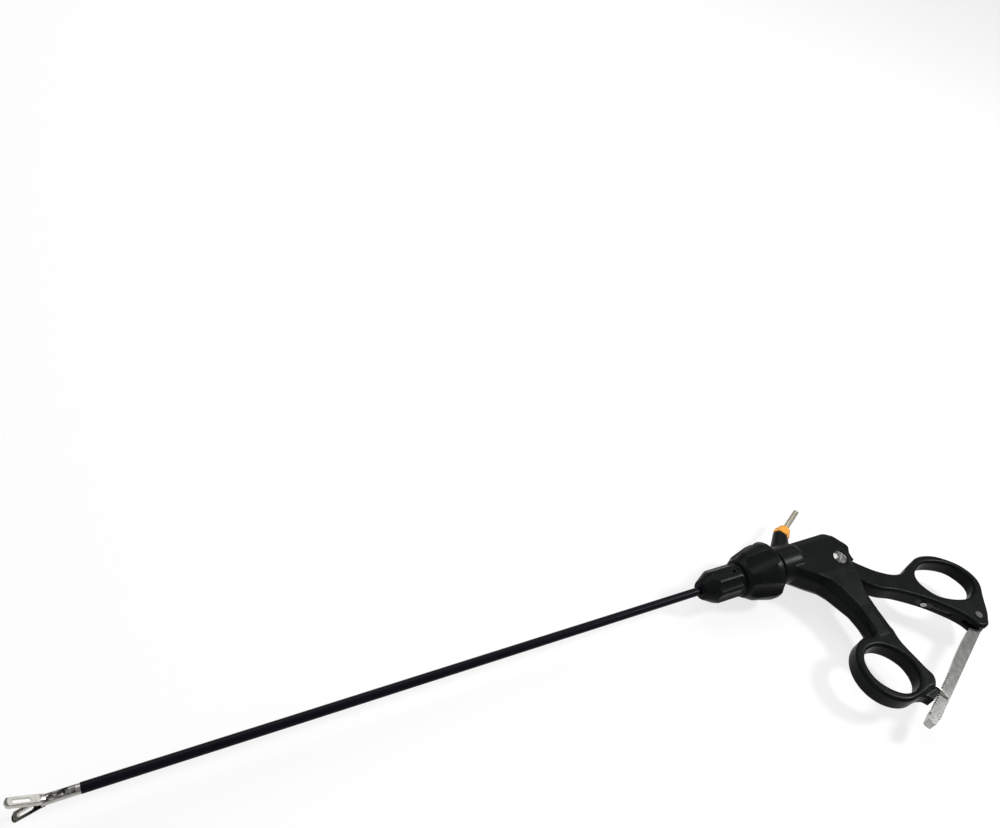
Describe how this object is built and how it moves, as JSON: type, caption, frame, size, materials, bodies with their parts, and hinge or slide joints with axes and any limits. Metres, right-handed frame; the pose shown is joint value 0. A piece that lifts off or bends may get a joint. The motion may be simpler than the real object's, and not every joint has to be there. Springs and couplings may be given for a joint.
{
  "type": "laparoscopic grasper",
  "caption": "Long-shafted surgical grasper with fenestrated toothed jaws, rotation knob, lead post and ratcheted ring handle.",
  "frame": {"origin": "on the shaft's axis, where the shaft leaves the rotation knob", "axes": "the instrument lies on its side: +X along the shaft from the jaws towards the handle, -Y towards the finger ring in the handle's plane, +Z square to that plane"},
  "size_m": [0.556, 0.1513, 0.0356],
  "materials": {
    "black_plastic": "fine satin moulding, black with a green-grey cast",
    "black_sleeve": "smooth satin insulation, black with a blue tint",
    "dark_ferrule": "satin black",
    "jaw_steel": "bright brushed stainless steel",
    "link_steel": "dull stainless steel",
    "rod_steel": "drawn stainless steel",
    "amber_plastic": "amber insulating plastic",
    "nickel": "nickel plate",
    "bright_screw": "polished",
    "bar_steel": "satin stainless steel",
    "seal_rubber": "soft black rubber",
    "washer_plastic": "natural low-friction plastic"
  },
  "bodies": {
    "front_handle": {"front_handle": "black_plastic", "lead_collar": "amber_plastic", "lead_pin": "nickel", "lead_contact": "nickel", "pivot_screw": "bright_screw", "pivot_nut": "bright_screw", "ratchet_catch": "bar_steel", "catch_rivets": "bright_screw"},
    "rotator": {"rotation_knob": "black_plastic", "nose_ferrule": "dark_ferrule", "knob_grub_screw": "bright_screw", "rotation_hub": "black_plastic", "hub_washer": "washer_plastic", "rod_seal": "seal_rubber", "shaft_tube": "rod_steel", "insulation_sleeve": "black_sleeve", "clevis": "jaw_steel", "jaw_pivot_pin": "jaw_steel", "clevis_rivet": "jaw_steel"},
    "rod": {"push_rod": "rod_steel", "rod_tongue": "link_steel", "link_pin": "link_steel"},
    "link_a": {"link_upper": "link_steel"},
    "link_b": {"link_lower": "link_steel"},
    "jaw_a": {"jaw_upper": "jaw_steel"},
    "jaw_b": {"jaw_lower": "jaw_steel"},
    "rear_handle": {"rear_handle": "black_plastic", "rod_socket": "rod_steel", "leaf_spring": "bar_steel", "spring_screw": "bright_screw", "bar_pin": "bright_screw"},
    "ratchet_bar": {"ratchet_bar": "bar_steel"}
  },
  "joints": [
    {"name": "handle_hinge", "type": "hinge", "parent": "front_handle", "child": "rear_handle", "pos_m": [0.101, -0.011, 0], "axis": [0, 0, 1], "range_deg": [-9.77, 0]},
    {"name": "knob_spin", "type": "hinge", "parent": "front_handle", "child": "rotator", "pos_m": [0, 0, 0], "axis": [1, 0, 0], "continuous": true},
    {"name": "rod_slide", "type": "slide", "parent": "rotator", "child": "rod", "axis": [1, 0, 0], "range_m": [0, 0.0019]},
    {"name": "jaw_upper_hinge", "type": "hinge", "parent": "rotator", "child": "jaw_a", "pos_m": [-0.349, 0, 0], "axis": [0, 1, 0], "range_deg": [-30.05, 0]},
    {"name": "jaw_lower_hinge", "type": "hinge", "parent": "rotator", "child": "jaw_b", "pos_m": [-0.349, 0, 0], "axis": [0, 1, 0], "range_deg": [0, 30.05]},
    {"name": "link_upper_hinge", "type": "hinge", "parent": "rod", "child": "link_a", "pos_m": [-0.34177, 0, 0], "axis": [0, 1, 0], "range_deg": [0, 15.09]},
    {"name": "link_lower_hinge", "type": "hinge", "parent": "rod", "child": "link_b", "pos_m": [-0.34177, 0, 0], "axis": [0, 1, 0], "range_deg": [-15.09, 0]},
    {"name": "bar_swing", "type": "hinge", "parent": "rear_handle", "child": "ratchet_bar", "pos_m": [0.16931, -0.07337, 0], "axis": [0, 0, 1], "range_deg": [0, 4.9]}
  ],
  "couplings": [
    {"joint": "rod_slide", "follows": "handle_hinge", "m_per_rad": -0.011},
    {"joint": "jaw_upper_hinge", "follows": "handle_hinge", "ratio": 3.0693},
    {"joint": "jaw_lower_hinge", "follows": "handle_hinge", "ratio": -3.0693},
    {"joint": "link_upper_hinge", "follows": "handle_hinge", "ratio": -1.5411},
    {"joint": "link_lower_hinge", "follows": "handle_hinge", "ratio": 1.5411},
    {"joint": "bar_swing", "follows": "handle_hinge", "ratio": -0.5}
  ]
}
